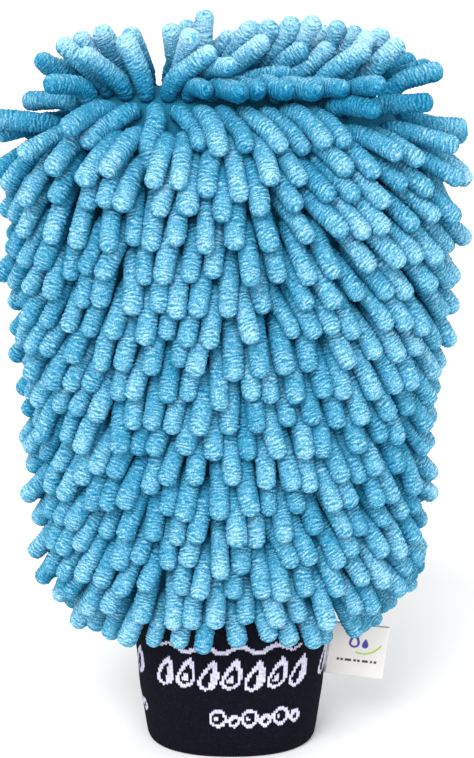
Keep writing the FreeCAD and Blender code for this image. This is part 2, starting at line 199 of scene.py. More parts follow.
panel_heights = np.concatenate([np.linspace(0.0665, 0.27, 84), np.linspace(0.2715, 0.2834, 16)])
panel_angles = np.linspace(0.0, math.pi, 120)
for side, word in ((-1, "front"), (1, "back")):
    outer = half_bag(side, bag_sizes, panel_heights, panel_angles[::side], 0.0)
    inner = half_bag(
        side, bag_sizes, panel_heights, panel_angles[::side], backing_thickness, backing_thickness
    )
    backing = shell_piece(word + "_backing", outer, inner)
    backing.data.materials.append(backing_blue)
    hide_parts(word + "_backing_panel")
    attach(backing, "mitt")

# Edge seam. The two panels' edges are turned inside and stitched through, so a narrow strip
# of each runs up both sides and over the finger end, with thread on both faces.
seam_foot = 0.082
allowance_edge = 0.0019
allowance_width = 0.0022
allowance_outer_face = 0.00085
allowance_inner_face = 0.00003
seam_heights = np.concatenate([np.linspace(seam_foot, 0.27, 70), np.linspace(0.272, 0.2835, 12)])


def seam_line(inset):
    """Width and height along the edge seam, from the right side over the top to the left."""
    wide, _ = oval_at(bag_sizes, seam_heights, inset)
    rise = smooth_curve(
        seam_heights, np.array([0.0, 0.19, 0.255, 0.272, 0.3]), np.array([0.0, 0.0, 0.6, 1.0, 1.0])
    )
    right = np.stack([wide, seam_heights - rise * inset], axis=-1)
    return np.concatenate([right, right[::-1] * [-1, 1]])


for side, word in ((-1, "front"), (1, "back")):
    rim, core = seam_line(allowance_edge), seam_line(allowance_edge + allowance_width)
    strips = []
    for out in (allowance_outer_face, allowance_inner_face):
        share = np.linspace(0, 1, 6)[None, :, None]
        flat = rim[:, None] * (1 - share) + core[:, None] * share
        ripple = 0.00001 * np.sin(np.arange(len(rim)) * 1.9)[:, None]
        depth = side * (out + ripple * np.ones((1, 6)))
        strips.append(np.stack([flat[..., 0], depth, flat[..., 1]], axis=-1))
    turned_edge = shell_piece(word + "_turned_edge", *strips)
    turned_edge.data.materials.append(backing_blue)
    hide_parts(word + "_seam_allowance")
    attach(turned_edge, "mitt")


def thread_material(name, dark, light):
    """Polyester sewing thread: a shiny two-strand twist."""
    thread, shader = new_material(name)
    place = add_node(thread, "ShaderNodeTexCoord").outputs["Object"]
    twist = add_node(
        thread,
        "ShaderNodeTexWave",
        {"bands_direction": "DIAGONAL"},
        Vector=place,
        Scale=900.0,
        Distortion=2.0,
    )
    shades = [(0.1, dark), (0.8, light)]
    feed(thread, shader, Base_Color=colour_ramp(thread, twist.outputs["Fac"], shades))
    shader.inputs["Roughness"].default_value = 0.45
    shader.inputs["Sheen Weight"].default_value = 0.4
    fabric_bump(thread, shader, twist.outputs["Fac"], 0.6, 0.0002)
    return thread


blue_thread = thread_material("blue_thread", (0.01, 0.10, 0.20), (0.06, 0.32, 0.50))
for name in ("edge_seam_stitches", "cuff_seam_stitches"):
    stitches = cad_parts[name]
    stitches.data.materials.clear()
    stitches.data.materials.append(blue_thread)

# Lining. A thin pale knit bag between the hand and the backing, in two halves like the
# panels. Only its mouth can be seen, up through the cuff, where it lies in soft folds.
lining_height = np.array(
    [62, 67, 72, 76, 82, 90, 104, 130, 160, 190, 215, 235, 249, 259, 267, 272.5, 275.5]
) / 1000
lining_half_width = np.array(
    [38, 38.1, 38.6, 41, 47.5, 55, 60, 62.2, 64.6, 67, 69, 69.8, 68, 63.5, 56.5, 47, 35]
) / 1000
lining_half_depth = np.array(
    [26.8, 27, 27.4, 28.6, 30.4, 31.6, 31.8, 31.4, 30.8, 30.2, 29.4, 27.8, 24.8, 21, 16.2, 10.6, 5.6]
) / 1000
lining_sizes = (lining_height, lining_half_width, lining_half_depth)
lining_thickness = 0.0007
lining_mouth = 0.062
lining_pale, shader = new_material("lining_fabric")
place = add_node(lining_pale, "ShaderNodeTexCoord").outputs["Object"]
threads = add_node(
    lining_pale, "ShaderNodeTexWave", {"bands_direction": "Z"}, Vector=place, Scale=520.0, Distortion=1.0
)
cloud = add_node(lining_pale, "ShaderNodeTexNoise", Vector=place, Scale=90.0, Detail=5.0)
tone = add_node(
    lining_pale,
    "ShaderNodeMath",
    {"operation": "MULTIPLY"},
    i0=threads.outputs["Fac"],
    i1=cloud.outputs["Fac"],
)
lining_greys = [(0.0, (0.42, 0.45, 0.48)), (0.7, (0.72, 0.75, 0.78))]
feed(lining_pale, shader, Base_Color=colour_ramp(lining_pale, tone.outputs[0], lining_greys))
shader.inputs["Roughness"].default_value = 0.85
fabric_bump(lining_pale, shader, threads.outputs["Fac"], 0.4, 0.0002)

lining_heights = np.concatenate([np.linspace(lining_mouth, 0.262, 90), np.linspace(0.2635, 0.2754, 14)])
lining_angles = np.linspace(0.0, math.pi, 140)
for side, word in ((-1, "front"), (1, "back")):
    skins = []
    for inset in (0.0, lining_thickness):
        skin = half_bag(side, lining_sizes, lining_heights, lining_angles[::side], inset, inset)
        sag = 0.0007 * np.sin(lining_angles[::side] * 11 + 3 * np.sin(lining_heights * 60)[:, None]) ** 2
        sag *= np.clip((lining_heights[:, None] - lining_mouth) / 0.02, 0, 1)
        skin[..., 0] *= 1 - sag / 0.06
        skin[..., 1] *= 1 - sag / 0.03
        skins.append(skin)
    lining = shell_piece(word + "_lining_half", *skins)
    lining.data.materials.append(lining_pale)
    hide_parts(word + "_lining")
    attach(lining, "mitt")

# Seam tape. A black twill tape covers the raw edge where lining, panels and cuff are sewn
# together, all the way round inside the wrist.
tape_inset = 0.0020
tape_thickness = 0.0006
tape_angles = np.linspace(0, 2 * math.pi, 241)
tape_heights = np.linspace(0.0642, 0.0718, 12)
tape_black, shader = new_material("seam_tape")
place = add_node(tape_black, "ShaderNodeTexCoord").outputs["Object"]
twill = add_node(
    tape_black,
    "ShaderNodeTexWave",
    {"bands_direction": "DIAGONAL"},
    Vector=place,
    Scale=700.0,
    Distortion=0.5,
)
tape_blacks = [(0.2, (0.006, 0.006, 0.012)), (0.9, (0.03, 0.03, 0.045))]
feed(tape_black, shader, Base_Color=colour_ramp(tape_black, twill.outputs["Fac"], tape_blacks))
shader.inputs["Roughness"].default_value = 0.8
fabric_bump(tape_black, shader, twill.outputs["Fac"], 0.5, 0.0002)
faces_of_tape = []
for inset in (tape_inset, tape_inset + tape_thickness):
    wide, deep = lining_half_width[0] - inset, lining_half_depth[0] - inset
    ring = np.stack([wide * np.cos(tape_angles), deep * np.sin(tape_angles)], axis=-1)
    rows = [np.column_stack([ring, np.full(len(ring), z)]) for z in tape_heights]
    faces_of_tape.append(np.array(rows))
tape = shell_piece("wrist_seam_tape", *faces_of_tape)
tape.data.materials.append(tape_black)
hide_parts("cuff_seam_tape")
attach(tape, "mitt")

# Cuff. A tube of jacquard knit in near-black and lilac yarn, folded double at the wrist rim
# and sewn to the mouth of the bag. The knitted-in decoration, a water line over a row of
# leaning drops and one of bubbles, repeats three times round the wrist.
cuff_sizes = (
    np.array([0, 2.5, 20, 43, 58, 73]) / 1000,
    np.array([35.8, 36.5, 38.7, 41.3, 41.9, 41.9]) / 1000,
    np.array([28.2, 28.7, 29.4, 30.3, 30.6, 30.6]) / 1000,
)
cuff_wall = 0.0026
cuff_squareness = 2.3
wales = 237
course = 0.00085
repeats = 3
repeat_width = 0.0765
cuff_top = 0.0728
face_top = 0.0645
full_half_width = 0.0412
full_half_depth = 0.0302
wale_relief = 0.00009
course_relief = 0.00006
stitch_drop = 0.00042

cuff_turn = np.linspace(0, 2 * math.pi, 4001)
power = 2 / cuff_squareness
unit_x = np.sign(np.sin(cuff_turn)) * np.abs(np.sin(cuff_turn)) ** power
unit_y = -np.sign(np.cos(cuff_turn)) * np.abs(np.cos(cuff_turn)) ** power
run = np.hypot(np.diff(unit_x * full_half_width), np.diff(unit_y * full_half_depth))
travel = np.concatenate([[0], np.cumsum(run)])
wanted = np.linspace(0, travel[-1], 2 * wales + 1)[:-1]
ring_x = np.interp(wanted, travel, unit_x)
ring_y = np.interp(wanted, travel, unit_y)
slope_x = np.sign(ring_x) * np.abs(ring_x) ** (cuff_squareness - 1) / full_half_width
slope_y = np.sign(ring_y) * np.abs(ring_y) ** (cuff_squareness - 1) / full_half_depth
slope_length = np.hypot(slope_x, slope_y)
ring_out = np.stack([slope_x / slope_length, slope_y / slope_length], axis=-1)

hem_rows = 5
inner_rows = 42
rim_radius = cuff_wall / 2
face_rows = np.arange(face_top, rim_radius + 1e-6, -course / 2)
rim_turn = np.linspace(0, math.pi, 9)[1:-1]
cuff_profile = np.concatenate(
    [
        np.column_stack([np.linspace(cuff_top, face_top + 0.001, hem_rows), np.zeros(hem_rows)]),
        np.column_stack([face_rows, np.zeros(len(face_rows))]),
        np.column_stack([rim_radius * (1 - np.sin(rim_turn)), rim_radius * (1 - np.cos(rim_turn))]),
        np.column_stack([np.linspace(rim_radius, cuff_top, inner_rows), np.full(inner_rows, cuff_wall)]),
    ]
)
first_face_row = hem_rows
last_face_row = hem_rows + len(face_rows) + len(rim_turn)

cuff_points = []
odd_wale = np.arange(2 * wales) % 2
for row, (height, inset) in enumerate(cuff_profile):
    wide = smooth_curve(np.maximum(height, 0.0), cuff_sizes[0], cuff_sizes[1])
    deep = smooth_curve(np.maximum(height, 0.0), cuff_sizes[0], cuff_sizes[2])
    relief = np.where(odd_wale, wale_relief, -wale_relief)
    if row % 2:
        relief = relief + course_relief
    relief = relief * (1 if inset < rim_radius else -1)
    on_face = first_face_row < row < last_face_row - 8
    lift = np.where(odd_wale, -stitch_drop, 0.0) * (1 if on_face else 0)
    slack = 0.0004 * math.sin(height * 210) * np.sin(np.arange(2 * wales) * 0.026 + 1)
    out = ring_out * (relief + slack - inset)[:, None]
    flat = np.stack([ring_x * wide, ring_y * deep], axis=-1) + out
    cuff_points.append(np.column_stack([flat, np.full(2 * wales, height) + lift]))
cuff_points = np.array(cuff_points)


def inside_drop(across, up, radius, length):
    """A drop: round below, drawn up to a point above."""
    below = (up < 0) & (np.hypot(across, up) < radius)
    share = np.clip(up / length, 0, 1)
    above = (up >= 0) & (np.abs(across) < radius * (1 - share) ** 0.8 * (1 + 0.5 * share))
    return below | above


def cuff_pattern(along, height):
    """True where the pale yarn shows, along and up the knit in metres."""
    along = (along + repeat_width / 2) % repeat_width - repeat_width / 2
    line_reach = 0.031
    crest = 0.0505 + 0.0015 * np.sin(along * 2 * math.pi / 0.0152)
    thin = 0.00105 * np.clip((line_reach - np.abs(along)) / 0.012, 0.55, 1)
    pale = (np.abs(height - crest) < thin) & (np.abs(along) < line_reach)
    for count in range(7):
        centre = (count - 3) * 0.0098
        low = 0.0360 + (0.0008 if count % 2 else 0)
        across, up = along - centre, height - low
        lean = across - up * 0.28
        outer = inside_drop(lean, up, 0.0043, 0.0098)
        inner = inside_drop(lean, up, 0.0028, 0.0062)
        glint = inside_drop(lean + 0.0002, up + 0.0002, 0.0014, 0.0028)
        pale |= (outer & ~inner) | (glint if count % 2 else inner & (lean > 0.0006))
    for count in range(6):
        centre, big = -0.0060 + count * 0.0072, 0.0028 if count % 2 else 0.0041
        away = np.hypot(along - centre, height - 0.0175 - (0 if count % 2 else 0.0012))
        pale |= (away < big) & (away > big - 0.0014)
        pale |= np.hypot(along - centre + 0.001, height - 0.0185) < 0.0009
    return pale


count_rows = len(cuff_profile)
cuff_faces, pale_faces = [], []
columns = 2 * wales
for i in range(count_rows):
    j = np.arange(columns)
    next_row = (i + 1) % count_rows
    a, b = i * columns + j, i * columns + (j + 1) % columns
    c, d = next_row * columns + (j + 1) % columns, next_row * columns + j
    cuff_faces.append(np.stack([b, a, d, c], axis=-1))
    on_face = first_face_row <= i < last_face_row
    stitch_row = (i - first_face_row) // 2
    height = face_top - (stitch_row + 0.5) * course
    along = ((j // 2) + 0.5) / wales * repeats * repeat_width
    if on_face:
        pale_faces.append(cuff_pattern(along, np.full(columns, height)))
    else:
        pale_faces.append(np.zeros(columns, bool))
cuff = mesh_piece("knit_cuff", cuff_points.reshape(-1, 3), np.concatenate(cuff_faces))
yarn = cuff.data.attributes.new("yarn", "FLOAT", "FACE")
yarn.data.foreach_set("value", np.concatenate(pale_faces).astype(np.float32))

cuff_knit, shader = new_material("cuff_knit")
place = add_node(cuff_knit, "ShaderNodeTexCoord").outputs["Object"]
pale_yarn = add_node(cuff_knit, "ShaderNodeAttribute", {"attribute_name": "yarn"}).outputs["Fac"]
fleck = add_node(cuff_knit, "ShaderNodeTexNoise", Vector=place, Scale=900.0, Detail=3.0).outputs["Fac"]
dark_yarn = [(0.35, (0.0016, 0.0016, 0.005)), (0.62, (0.004, 0.0042, 0.011)), (0.80, (0.012, 0.013, 0.030))]
dark = colour_ramp(cuff_knit, fleck, dark_yarn)
pale = colour_ramp(cuff_knit, fleck, [(0.3, (0.42, 0.40, 0.56)), (0.55, (0.66, 0.65, 0.80))])
mixed = add_node(cuff_knit, "ShaderNodeMix", {"data_type": "RGBA"}, i0=pale_yarn, i6=dark, i7=pale)
feed(cuff_knit, shader, Base_Color=mixed.outputs[2])
shader.inputs["Roughness"].default_value = 0.9
shader.inputs["Specular IOR Level"].default_value = 0.12
fabric_bump(cuff_knit, shader, fleck, 0.35, 0.0003)
cuff.data.materials.append(cuff_knit)
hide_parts("cuff_sleeve")
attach(cuff, "mitt")

# Tufts. Short fat ropes of chenille, each sewn into a panel by its root in rows across it.
# They stand out from the cloth and flop over under their own weight, so each lies on the
# roots of the row below: down the palm and back, out at the sides, and over the finger end.
tuft_radius = 0.0040
tuft_length = 0.0300
root_lift = 0.0026
chain_nodes = 11
settle_steps = 260
steps_to_next_pairing = 14
squeeze = 0.93
root_squeeze = 0.72
longest_push = 0.0012
skin_clearance = tuft_radius * 0.95
chance = np.random.default_rng(7)


def tuft_roots(node):
    """The sewn end of every tuft in a row."""
    mesh = node.data
    points = np.empty(len(mesh.vertices) * 3)
    mesh.vertices.foreach_get("co", points)
    points = points.reshape(-1, 3)
    _, welded = np.unique(np.round(points * 20000).astype(int), axis=0, return_inverse=True)
    welded = welded.ravel()
    loops = np.empty(len(mesh.loops), int)
    mesh.loops.foreach_get("vertex_index", loops)
    starts = np.empty(len(mesh.polygons), int)
    mesh.polygons.foreach_get("loop_start", starts)
    corner = welded[loops]
    group = np.arange(welded.max() + 1)
    face_of_loop = np.repeat(np.arange(len(starts)), np.diff(np.append(starts, len(loops))))
    while True:
        lowest = np.full(len(starts), len(group))
        np.minimum.at(lowest, face_of_loop, group[corner])
        joined = group.copy()
        np.minimum.at(joined, corner, lowest[face_of_loop])
        joined = joined[joined]
        if (joined == group).all():
            break
        group = joined
    found = []
    for number in np.unique(group):
        island = points[group[welded] == number]
        middle = (island.min(axis=0) + island.max(axis=0)) / 2
        line = np.linalg.svd(island - island.mean(axis=0), full_matrices=False)[2][0]
        reach = (island - middle) @ line
        ends = [island[np.abs(reach - end) < 0.0004].mean(axis=0) for end in (reach.min(), reach.max())]
        gaps, _ = bag_gap(np.array(ends))
        found.append(ends[0] if gaps[0] < gaps[1] else ends[1])
    return found


def bag_gap(points, sizes=bag_sizes):
    """Distance out from the bag's or cuff's skin, near enough, and the way out."""
    low, high = sizes[0][0], sizes[0][-1]
    height = np.clip(points[:, 2], low, high)
    step = 0.0005
    wide, deep = oval_at(sizes, height)
    level = (points[:, 0] / wide) ** 2 + (points[:, 1] / deep) ** 2
    up_wide, up_deep = oval_at(sizes, np.clip(height + step, low, high))
    down_wide, down_deep = oval_at(sizes, np.clip(height - step, low, high))
    span = np.clip(height + step, low, high) - np.clip(height - step, low, high)
    above = (points[:, 0] / up_wide) ** 2 + (points[:, 1] / up_deep) ** 2
    below = (points[:, 0] / down_wide) ** 2 + (points[:, 1] / down_deep) ** 2
    slope = np.stack(
        [2 * points[:, 0] / wide**2, 2 * points[:, 1] / deep**2, (above - below) / span], axis=-1
    )
    steep = np.linalg.norm(slope, axis=1)
    way = slope / np.maximum(steep, 1e-6)[:, None]
    gap = (level - 1) / np.maximum(steep, 1e-6)
    over = np.clip(points[:, 2] - high, 0, None)
    beyond = way * np.clip(gap, 0, None)[:, None] + over[:, None] * np.array([0, 0, 1.0])
    reach = np.linalg.norm(beyond, axis=1)
    above_top = over > 0
    gap = np.where(above_top, reach, gap)
    way = np.where(above_top[:, None], beyond / np.maximum(reach, 1e-9)[:, None], way)
    return gap, way


roots, rows_of_tufts = [], []
for name in sorted(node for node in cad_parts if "_tuft_row_" in node):
    found = tuft_roots(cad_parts[name])
    rows_of_tufts.append((name, range(len(roots), len(roots) + len(found))))
    roots.extend(found)
roots = np.array(roots)
tufts = len(roots)

_, skin_out = bag_gap(roots)
sewn = roots - skin_out * root_lift
down = np.array([0.0, 0.0, -1.0])
fall = down - skin_out * (skin_out @ down)[:, None]
fall_length = np.linalg.norm(fall, axis=1)
fall /= np.maximum(fall_length, 1e-6)[:, None]
front = sewn[:, 1] < 0
face_on = np.abs(skin_out[:, 1])
aside = np.cross(fall, skin_out)
aside *= np.sign(aside[:, 0] + 1e-9)[:, None]

# The pile is brushed one way or the other: apart down the middle of the palm, and across
# to one side over the finger end, where it stands up and falls forward or back.
across = np.where(front, sewn[:, 0], -sewn[:, 0])
parting = -0.008
comb = np.where(across < parting, -0.12 + (across - parting) * 2.0, 0.10 + (across - parting) * 4.5)
upper = np.clip((sewn[:, 2] - 0.185) / 0.06, 0, 1)
comb += upper * np.clip((across - 0.002) / 0.03, 0, 1) * 0.65
lower = np.clip((0.150 - sewn[:, 2]) / 0.06, 0, 1)
comb += lower * np.clip(across / 0.06, -1, 1) * 0.30
comb = np.where(front, comb, -comb) * np.clip(face_on * 1.3, 0.15, 1)
comb += chance.normal(0, 0.19, tufts)
hang = fall + aside * comb[:, None]
over_seam = np.clip(0.55 - face_on, 0, 0.4) * 1.1 + chance.normal(0, 0.10, tufts)
over_seam += 0.45 * np.clip(1.6 - np.abs(sewn[:, 1]) / 0.004, 0, 1)
hang[:, 1] -= np.sign(sewn[:, 1]) * over_seam * (face_on < 0.6)
under = np.clip(-skin_out[:, 2] / 0.5, 0, 1) * (1 - face_on)
hang[:, 0] += under * np.sign(sewn[:, 0]) * 0.95
hang /= np.linalg.norm(hang, axis=1)[:, None]
crown = np.clip((skin_out[:, 2] - 0.30) / 0.40, 0, 1)[:, None]
forward = np.sign(sewn[:, 1])
back = forward > 0
to_side = np.clip((np.abs(sewn[:, 0]) - 0.014) / 0.047, 0, 1)
off_seam = np.where(
    back,
    np.clip((np.abs(sewn[:, 1]) - 0.010) / 0.008, 0, 1),
    np.clip((np.abs(sewn[:, 1]) + 0.001 - 0.008 * to_side) / 0.016, 0, 1),
)
lean_right = np.clip((sewn[:, 0] + 0.045) / 0.050, -0.5, 1)
side_lean = 0.85 * lean_right * (1 - to_side) + 0.85 * np.sign(sewn[:, 0]) * to_side
topple = np.where(back, 1.3, 1.75)
over_top = np.stack(
    [
        side_lean + chance.normal(0, 0.30, tufts),
        forward * 0.80 * off_seam * (1 - 0.5 * to_side) - 0.15 * back + chance.normal(0, 0.32, tufts),
        1.0 - topple * off_seam * (1 - 0.6 * to_side) - 1.15 * to_side**3 + chance.normal(0, 0.28, tufts),
    ],
    axis=-1,
)
over_top /= np.linalg.norm(over_top, axis=1)[:, None]
hang = hang * (1 - crown) + over_top * crown
hang /= np.linalg.norm(hang, axis=1)[:, None]

middle = np.clip(1.4 - np.abs(across - 0.008) / 0.030, 0, 1) * np.clip((0.092 - sewn[:, 2]) / 0.02, 0, 1)
lengths = tuft_length - 0.0055 * middle + chance.normal(0, 0.0013, tufts)
piece_of_chain = (lengths / (chain_nodes - 1))[:, None]
shoulder = np.clip((sewn[:, 2] - 0.238) / 0.035, 0, 1)
stand_off = 0.40 + 0.12 * lower + 0.05 * middle
stand_off += 0.16 * shoulder * (1 - face_on) - 0.20 * crown[:, 0] * off_seam
stand_off += chance.normal(0, 0.11, tufts)
quick_bend = 2.6 - 1.4 * crown - 0.6 * shoulder[:, None]
bend = np.clip(np.arange(chain_nodes - 1)[None, :] / quick_bend, 0, 1)[:, :, None]
droop = np.linspace(0, 1, chain_nodes - 1)[None, :, None]
limp = 0.22 * (1 - 0.8 * crown[:, 0] * (1 - off_seam))
limp += crown[:, 0] * off_seam * (1 - to_side) * chance.uniform(0.2, 1.3, tufts)
targets = skin_out[:, None] * (1 - bend) + bend * (
    hang[:, None] * (1 - 0.25 * stand_off[:, None, None]) + skin_out[:, None] * stand_off[:, None, None]
)
targets = targets + down * droop * limp[:, None, None]
near_seam = np.clip(1 - np.abs(sewn[:, 1]) / 0.012, 0, 1) * 0.50 * crown[:, 0]
targets[:, 1:, 1] -= (forward * near_seam)[:, None]
targets /= np.linalg.norm(targets, axis=2)[:, :, None]
steps_out = np.cumsum(targets * piece_of_chain[:, :, None], axis=1)
chain = np.concatenate([sewn[:, None], sewn[:, None] + steps_out], axis=1)

owner = np.repeat(np.arange(tufts), chain_nodes)
place_on = np.tile(np.arange(chain_nodes), tufts)
pairs = None
for step in range(settle_steps):
    if step % steps_to_next_pairing == 0:
        flat = chain.reshape(-1, 3)
        tree = kdtree.KDTree(len(flat))
        for number, point in enumerate(flat):
            tree.insert(point, number)
        tree.balance()
        first, second = [], []
        for number, point in enumerate(flat):
            for _, other, _ in tree.find_range(point, 2 * tuft_radius + 0.0035):
                if other > number and owner[other] != owner[number]:
                    first.append(number)
                    second.append(other)
        pairs = np.array(first), np.array(second)
    stiff = 0.22 if step < settle_steps * 0.8 else 0.12
    for link in range(chain_nodes - 1):
        wish = chain[:, link] + targets[:, link] * piece_of_chain
        chain[:, link + 1] += (wish - chain[:, link + 1]) * stiff
    flat = chain.reshape(-1, 3)
    first, second = pairs
    apart = flat[second] - flat[first]
    distance = np.linalg.norm(apart, axis=1)
    need = 2 * tuft_radius * squeeze
    near_root = np.minimum(place_on[first], place_on[second])
    need = need * np.where(near_root < 2, root_squeeze, 1.0)
    push = np.clip(need - distance, 0, None) / np.maximum(distance, 1e-6) * 0.42
    move = apart * push[:, None]
    shift = np.zeros_like(flat)
    for axis in range(3):
        pushed_on = np.bincount(second, move[:, axis], len(flat))
        pushed_back = np.bincount(first, move[:, axis], len(flat))
        shift[:, axis] += pushed_on - pushed_back
    flat += np.clip(shift, -longest_push, longest_push) * (place_on > 0)[:, None]
    for sizes in (bag_sizes, cuff_sizes):
        gap, way = bag_gap(flat, sizes)
        inside = (gap < skin_clearance) & (place_on > 1)
        if sizes is cuff_sizes:
            inside &= (flat[:, 2] < 0.0665) & (flat[:, 2] > 0)
        flat[inside] += way[inside] * (skin_clearance - gap[inside])[:, None] * 0.6
    chain = flat.reshape(tufts, chain_nodes, 3)
    for _ in range(2):
        for link in range(chain_nodes - 1):
            line = chain[:, link + 1] - chain[:, link]
            long = np.linalg.norm(line, axis=1)[:, None]
            fix = line * (1 - piece_of_chain / np.maximum(long, 1e-6))
            if link == 0:
                chain[:, 1] -= fix
            else:
                chain[:, link] += fix * 0.5
                chain[:, link + 1] -= fix * 0.5
    chain[:, 0] = sewn
for _ in range(2):
    chain[:, 2:-1] = chain[:, 2:-1] * 0.5 + (chain[:, 1:-2] + chain[:, 3:]) * 0.25

sections = 76
around = 22
tip_sections = 10
ring_pitch = 0.0015
ring_relief = 0.00027
grain_relief = 0.00008
stray_length = 0.0003


def along_chain(share):
    """Points on a smooth line through each tuft's chain, share from 0 to 1."""
    before = 2 * chain[:, :1] - chain[:, 1:2]
    beyond = 2 * chain[:, -1:] - chain[:, -2:-1]
    padded = np.concatenate([before, chain, beyond], axis=1)
    spot = share * (chain_nodes - 1)
    i = np.clip(spot.astype(int), 0, chain_nodes - 2)
    t = (spot - i)[None, :, None]
    p0, p1, p2, p3 = (padded[:, i + k] for k in range(4))
    return 0.5 * (
        2 * p1 + (p2 - p0) * t + (2 * p0 - 5 * p1 + 4 * p2 - p3) * t**2 + (3 * p1 - p0 - 3 * p2 + p3) * t**3
    )


tip_dome = 0.0037
tip_share = np.sin(np.linspace(0.1, 1, tip_sections) * math.pi / 2) * 0.115 + 0.885
share = np.concatenate([np.linspace(0, 0.885, sections - tip_sections), tip_share])
centre_line = along_chain(share)
ahead = np.gradient(centre_line, axis=1)
ahead /= np.linalg.norm(ahead, axis=2)[:, :, None]
across_line = np.zeros_like(ahead)
start = np.cross(ahead[:, 0], np.array([0.31, 0.17, 0.93]))
across_line[:, 0] = start / np.linalg.norm(start, axis=1)[:, None]
for s in range(1, sections):
    along_it = np.sum(across_line[:, s - 1] * ahead[:, s], axis=1)[:, None]
    carried = across_line[:, s - 1] - ahead[:, s] * along_it
    across_line[:, s] = carried / np.linalg.norm(carried, axis=1)[:, None]
other_line = np.cross(ahead, across_line)

angle = np.arange(around) * 2 * math.pi / around
distance_along = share[None, :, None] * lengths[:, None, None]
from_tip = (1 - share)[None, :, None] * lengths[:, None, None]
dome = np.clip(1 - (1 - np.clip(from_tip / tip_dome, 0, 1)) ** 2.1, 0, 1) ** (1 / 2.1)
neck = 0.62 + 0.38 * np.clip(distance_along / 0.007, 0, 1) ** 0.7
thickness = (0.99 + chance.normal(0, 0.04, tufts))[:, None, None]
swell = 1 + 0.035 * np.sin(distance_along / 0.0062 + chance.uniform(0, 6.3, tufts)[:, None, None])
radius = tuft_radius * dome * neck * thickness * swell
turn = angle[None, None, :]
phase = chance.uniform(0, 6.3, (4, tufts))[:, :, None, None]
wander = (
    0.9 * np.sin(turn + phase[0] + distance_along * 260)
    + 0.8 * np.sin(2 * turn + phase[1] - distance_along * 530)
    + 0.6 * np.sin(3 * turn + phase[2] + distance_along * 900)
    + 0.45 * np.sin(5 * turn + phase[3] - distance_along * 1300)
)
ridge = np.sin(distance_along * 2 * math.pi / ring_pitch + 1.9 * wander + phase[3])
spiral = np.sin(2 * turn + 3 * phase[1] + distance_along * 1100)
slow_spiral = np.sin(turn + phase[2] + distance_along * 640)
counter_spiral = np.sin(4 * turn + 2 * phase[0] - distance_along * 1700)
broken = np.clip(0.5 + 0.6 * spiral * slow_spiral + 0.25 * counter_spiral, 0.05, 1.1)
grain = chance.normal(0, 1, (tufts, sections, around))
crest = ridge * broken
stray = stray_length * (chance.uniform(0, 1, grain.shape) > 0.95)
relief = (ring_relief * crest + grain_relief * grain + stray) * np.clip(dome * 1.2, 0, 1)
radius = radius * np.ones_like(turn) + relief
rings = (
    centre_line[:, :, None]
    + across_line[:, :, None] * (np.cos(turn) * radius)[..., None]
    + other_line[:, :, None] * (np.sin(turn) * radius)[..., None]
)
# The crest value also colours the pile, as painted shade: the grooves between the ridges are coloured darker
# and the crests lighter.
crest = np.clip(0.5 + 0.5 * crest + 0.12 * grain, 0, 1)
# Painted shade and light: the pile is coloured darker and more saturated close to the backing and on the
# sides turned in towards it, and a little lighter over the finger end, standing in for the shade deep in the
# pile and the light on its outer sides.
skin_height, _ = bag_gap(rings.reshape(-1, 3))
skin_height = np.clip(skin_height / 0.022, 0, 1).reshape(tufts, sections, around)
facing = across_line[:, :, None] * np.cos(turn)[..., None]
facing = facing + other_line[:, :, None] * np.sin(turn)[..., None]
facing = 0.5 + 0.5 * np.sum(facing * skin_out[:, None, None], axis=3)
pile_shade = 0.12 * crown[:, :, None] + 0.62 * skin_height + 0.34 * facing
# Painted shade: the two rings at the root get no crest, so the pile is coloured darkest where it is sewn in.
crest[:, :2] = 0.0

chenille, shader = new_material("chenille_pile")
place = add_node(chenille, "ShaderNodeTexCoord").outputs["Object"]
height_of_crest = add_node(chenille, "ShaderNodeAttribute", {"attribute_name": "crest"}).outputs["Fac"]
fuzz = add_node(
    chenille, "ShaderNodeTexNoise", Vector=place, Scale=1500.0, Detail=4.0, Roughness=0.65
).outputs["Fac"]
clumps = add_node(chenille, "ShaderNodeTexNoise", Vector=place, Scale=260.0, Detail=2.0).outputs["Fac"]
tuft_tone = add_node(chenille, "ShaderNodeAttribute", {"attribute_name": "tone"}).outputs["Fac"]
pile_shade_input = add_node(chenille, "ShaderNodeAttribute", {"attribute_name": "pile_shade"}).outputs["Fac"]
# Brightness of the pile's colour: random fuzz and clumps, a random tone per tuft, and painted shade and
# light from the crest and shade attributes.
brightness = fuzz
for source, weight in ((height_of_crest, 0.42), (clumps, 0.18), (tuft_tone, 0.10), (pile_shade_input, 0.80)):
    brightness = add_node(
        chenille, "ShaderNodeMath", {"operation": "MULTIPLY_ADD"}, i0=source, i1=weight, i2=brightness
    ).outputs[0]
# The ramp turns this brightness into the pile's blue: deep saturated blue where the painted shade is
# strongest, pale blue on crests and outer sides as painted light.
pile_colour = colour_ramp(
    chenille,
    add_node(chenille, "ShaderNodeMath", {"operation": "MULTIPLY"}, i0=brightness, i1=0.5).outputs[0],
    [
        (0.42, (0.0001, 0.078, 0.190)),
        (0.56, (0.002, 0.168, 0.330)),
        (0.69, (0.065, 0.335, 0.525)),
        (0.84, (0.470, 0.770, 0.940)),
    ],
)
feed(chenille, shader, Base_Color=pile_colour)
shader.inputs["Roughness"].default_value = 0.85
shader.inputs["Specular IOR Level"].default_value = 0.04
shader.inputs["Sheen Weight"].default_value = 0.15
shader.inputs["Sheen Roughness"].default_value = 0.5
shader.inputs["Sheen Tint"].default_value = (0.15, 0.75, 1.0, 1)
raised = add_node(
    chenille, "ShaderNodeMath", {"operation": "MULTIPLY_ADD"}, i0=height_of_crest, i1=0.25, i2=fuzz
)
fabric_bump(chenille, shader, raised.outputs[0], 0.8, 0.0008)

